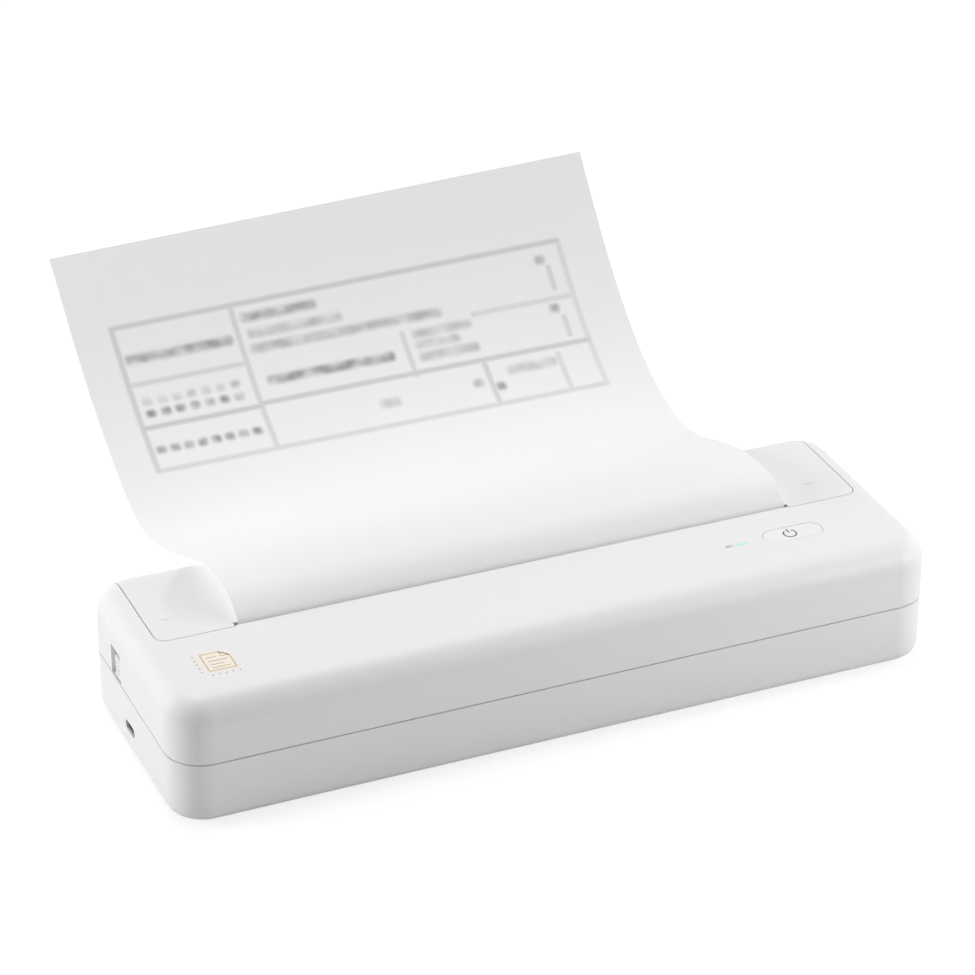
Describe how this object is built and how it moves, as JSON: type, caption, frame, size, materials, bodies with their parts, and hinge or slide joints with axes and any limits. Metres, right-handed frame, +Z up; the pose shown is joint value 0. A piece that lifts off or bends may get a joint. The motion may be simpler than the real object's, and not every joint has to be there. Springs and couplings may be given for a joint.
{
  "type": "portable thermal printer",
  "caption": "Slim white portable thermal printer for full-page roll paper: rounded case, rear-hinged cover over the roll, platen and print head, and a printed page curving back over the cover.",
  "frame": {"origin": "centre of the plane that the four rubber feet stand on, under the middle of the case", "axes": "+X to the right along the case, +Y to the back where the cover hinges, +Z up"},
  "size_m": [0.287, 0.252, 0.1145],
  "materials": {
    "case_plastic": "fine satin moulded ABS, white",
    "cover_plastic": "fine satin moulded ABS, white",
    "deck_plastic": "moulded, pale grey",
    "button_plastic": "smooth moulded cap, white",
    "slider_plastic": "satin moulded thumb piece, white",
    "foot_rubber": "soft matt rubber",
    "steel": "plain turned steel",
    "plate_steel": "zinc-plated sheet",
    "motor_can": "drawn steel can",
    "spring_steel": "bright wire",
    "port_steel": "plated shell",
    "paper": "wound thermal paper",
    "page_paper": "smooth thermal paper with a faint printed table",
    "card": "plain card tube",
    "guide_plastic": "moulded, dark grey",
    "tray_plastic": "moulded, light grey",
    "platen_rubber": "ground rubber",
    "bush_plastic": "moulded acetal",
    "gear_plastic": "moulded nylon",
    "brass": "cut brass",
    "head_glaze": "dark glaze",
    "aluminium": "extruded, plain",
    "led_lens": "clear light pipe, pale green",
    "circuit_board": "solder mask",
    "chip_black": "moulded black",
    "ribbon": "flat film cable",
    "cell_wrap": "shrink wrap"
  },
  "bodies": {
    "casing": {"lower_case": "case_plastic", "upper_case": "case_plastic", "end_decks": "deck_plastic", "frame_screws": "steel", "board_screws": "steel", "idler_washers": "bush_plastic", "motor_screws": "steel", "rubber_feet": "foot_rubber", "case_screws": "steel", "hinge_pins": "steel", "roll_guides": "guide_plastic", "paper_page": "page_paper", "paper_tray": "tray_plastic", "idler_axle": "steel", "side_plates": "plate_steel", "gear_plate": "plate_steel", "stepper_motor": "motor_can", "head_springs": "spring_steel", "spring_rail": "plate_steel", "tear_bar": "steel", "led_lens": "led_lens", "top_board": "circuit_board", "tact_switch": "chip_black", "slider_spring": "spring_steel", "usb_c_socket": "port_steel", "main_board": "circuit_board", "board_chips": "chip_black", "ribbon_cable": "ribbon", "paper_sensor": "chip_black", "battery_pack": "cell_wrap"},
    "cover": {"top_cover": "cover_plastic", "platen_bushes": "bush_plastic"},
    "platen": {"platen_shaft": "steel", "platen_rubber": "platen_rubber", "platen_gear": "gear_plastic"},
    "roll": {"paper_roll": "paper", "roll_core": "card"},
    "idler": {"idler_gear": "gear_plastic"},
    "pinion": {"motor_pinion": "brass"},
    "head": {"thermal_head": "head_glaze", "head_heat_sink": "aluminium", "head_pivot_pins": "steel"},
    "button": {"power_button": "button_plastic"},
    "slider": {"release_slider": "slider_plastic"}
  },
  "joints": [
    {"name": "cover_hinge", "type": "hinge", "parent": "casing", "child": "cover", "pos_m": [0, 0.0434, 0.02875], "axis": [-1, 0, 0], "range_deg": [0, 90], "deforming": ["paper_page"]},
    {"name": "platen_spin", "type": "hinge", "parent": "cover", "child": "platen", "pos_m": [0, 0.004, 0.036], "axis": [-1, 0, 0], "continuous": true},
    {"name": "roll_spin", "type": "hinge", "parent": "casing", "child": "roll", "pos_m": [0, 0.0275, 0.02], "axis": [-1, 0, 0], "continuous": true},
    {"name": "idler_spin", "type": "hinge", "parent": "casing", "child": "idler", "pos_m": [0, 0.00201, 0.02447], "axis": [-1, 0, 0], "continuous": true},
    {"name": "motor_spin", "type": "hinge", "parent": "casing", "child": "pinion", "pos_m": [0, -0.01046, 0.01727], "axis": [-1, 0, 0], "continuous": true},
    {"name": "head_tilt", "type": "hinge", "parent": "casing", "child": "head", "pos_m": [0, -0.00615, 0.024], "axis": [1, 0, 0], "range_deg": [0, 2], "stiffness_Nm_per_rad": 1, "springref_deg": -2.86, "deforming": ["head_springs"]},
    {"name": "button_press", "type": "slide", "parent": "casing", "child": "button", "axis": [0, 0, -1], "range_m": [0, 0.0004], "stiffness_N_per_m": 500, "springref_m": -0.001},
    {"name": "release_slide", "type": "slide", "parent": "casing", "child": "slider", "axis": [0, 1, 0], "range_m": [0, 0.003], "stiffness_N_per_m": 200, "springref_m": -0.002, "deforming": ["slider_spring"]}
  ],
  "couplings": [
    {"joint": "roll_spin", "follows": "platen_spin", "ratio": 0.48148},
    {"joint": "idler_spin", "follows": "platen_spin", "ratio": -1.6},
    {"joint": "motor_spin", "follows": "platen_spin", "ratio": 4.8}
  ]
}
